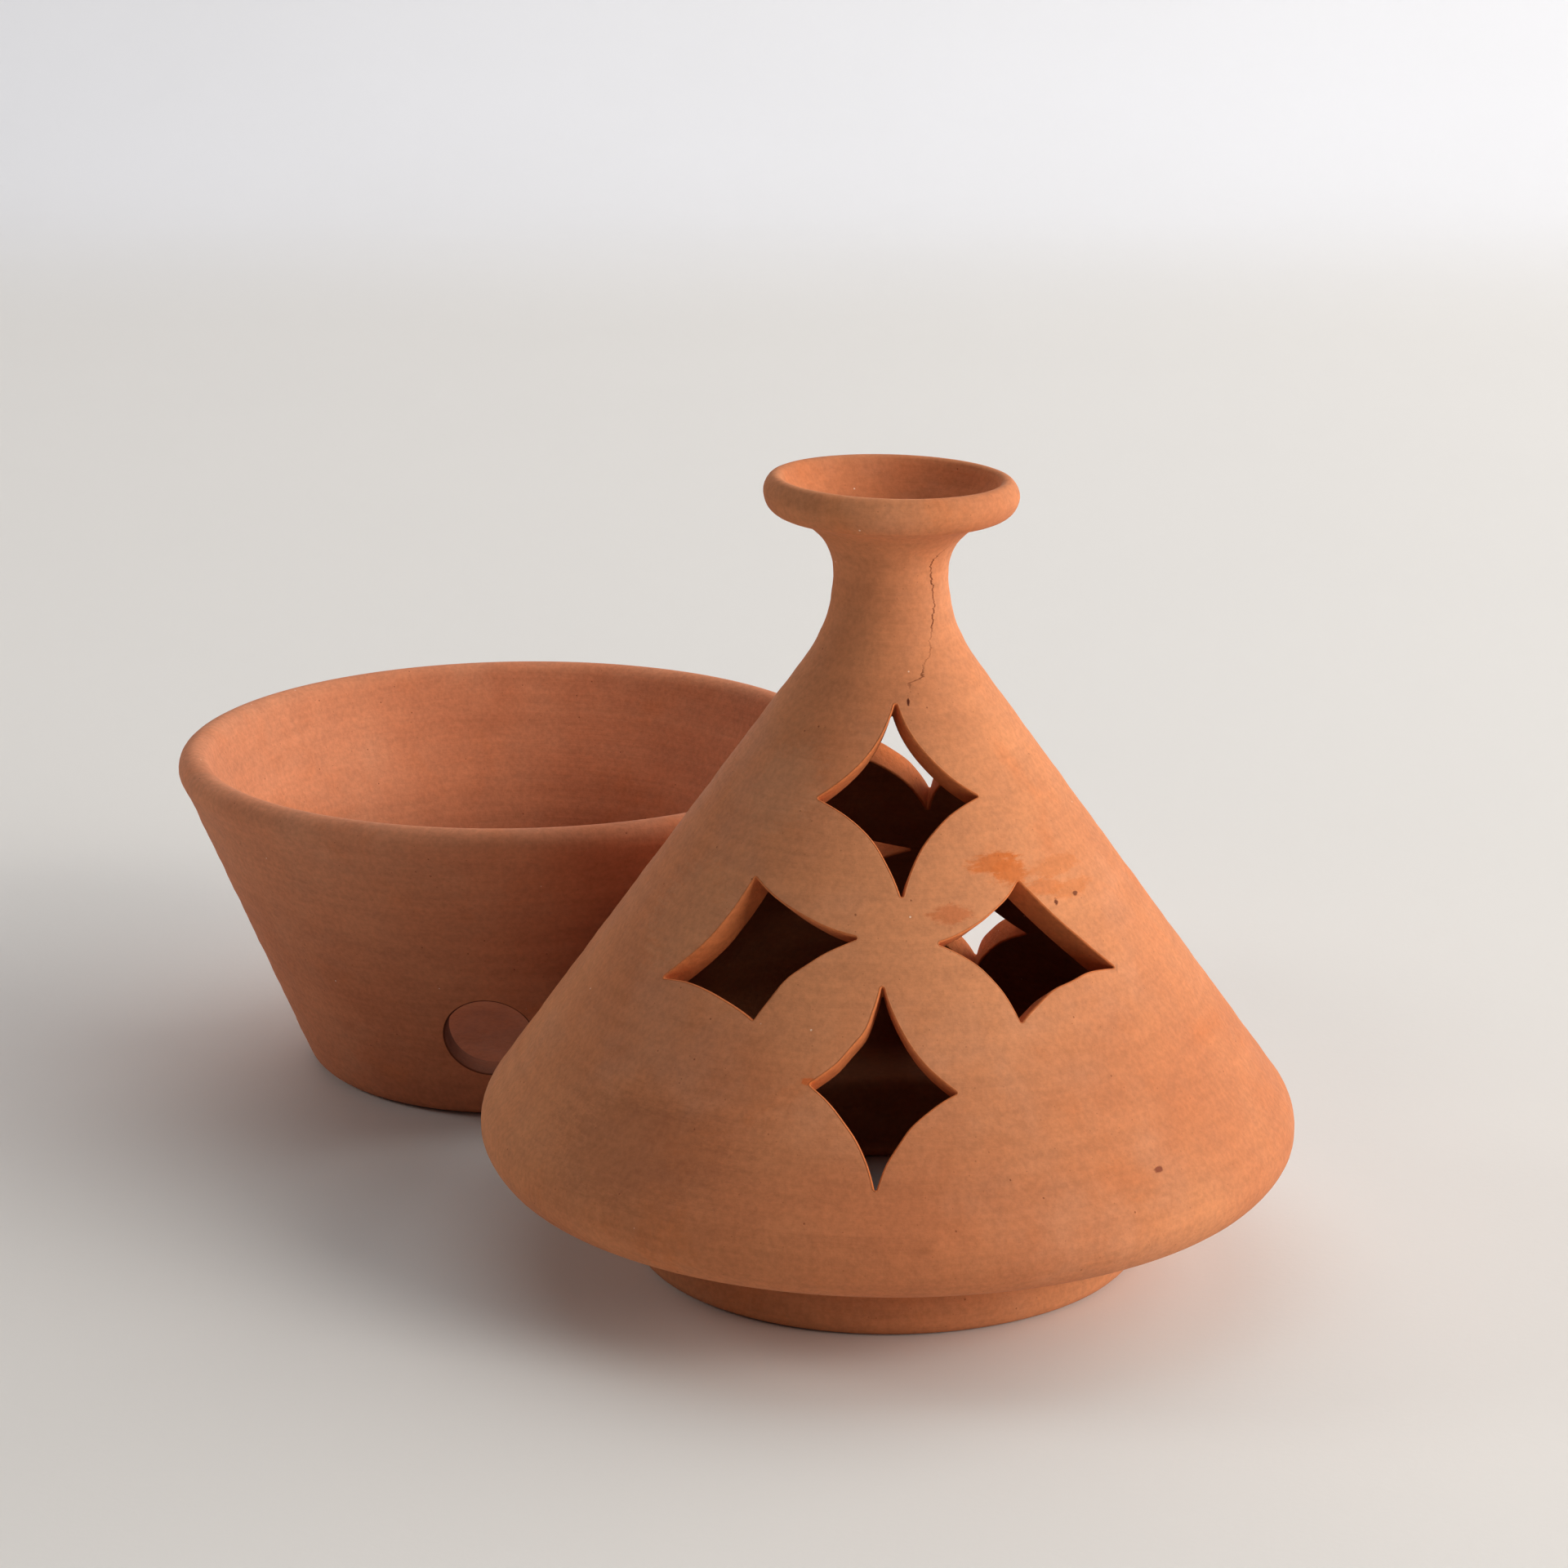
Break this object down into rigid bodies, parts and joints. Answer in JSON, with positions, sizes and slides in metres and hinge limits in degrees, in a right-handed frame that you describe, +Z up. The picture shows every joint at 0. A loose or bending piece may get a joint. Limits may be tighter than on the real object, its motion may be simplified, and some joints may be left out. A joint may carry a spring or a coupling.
{
  "type": "tagine lantern",
  "caption": "Pierced earthenware lantern in the form of a small tagine: a flared bowl with a vent hole and a conical lid with star cut-outs and a cup-shaped top.",
  "frame": {"origin": "centre of the underside of the bowl", "axes": "+Z up; the bowl's vent hole faces about -Y; the lid stands on its ring beside the bowl, towards +X and -Y"},
  "size_m": [0.1769, 0.2022, 0.1166],
  "materials": {
    "bowl_clay": "unglazed terracotta, wiped smooth, matt",
    "lid_clay": "unglazed terracotta, wiped smooth, matt, with a dry bloom"
  },
  "bodies": {
    "bowl": {"bowl": "bowl_clay"},
    "lid": {"lid": "lid_clay"}
  },
  "joints": [
    {"name": "lid_lift", "type": "slide", "parent": "bowl", "child": "lid", "axis": [0.4075, -0.5779, 0.7071], "range_m": [0, 0.15]}
  ]
}
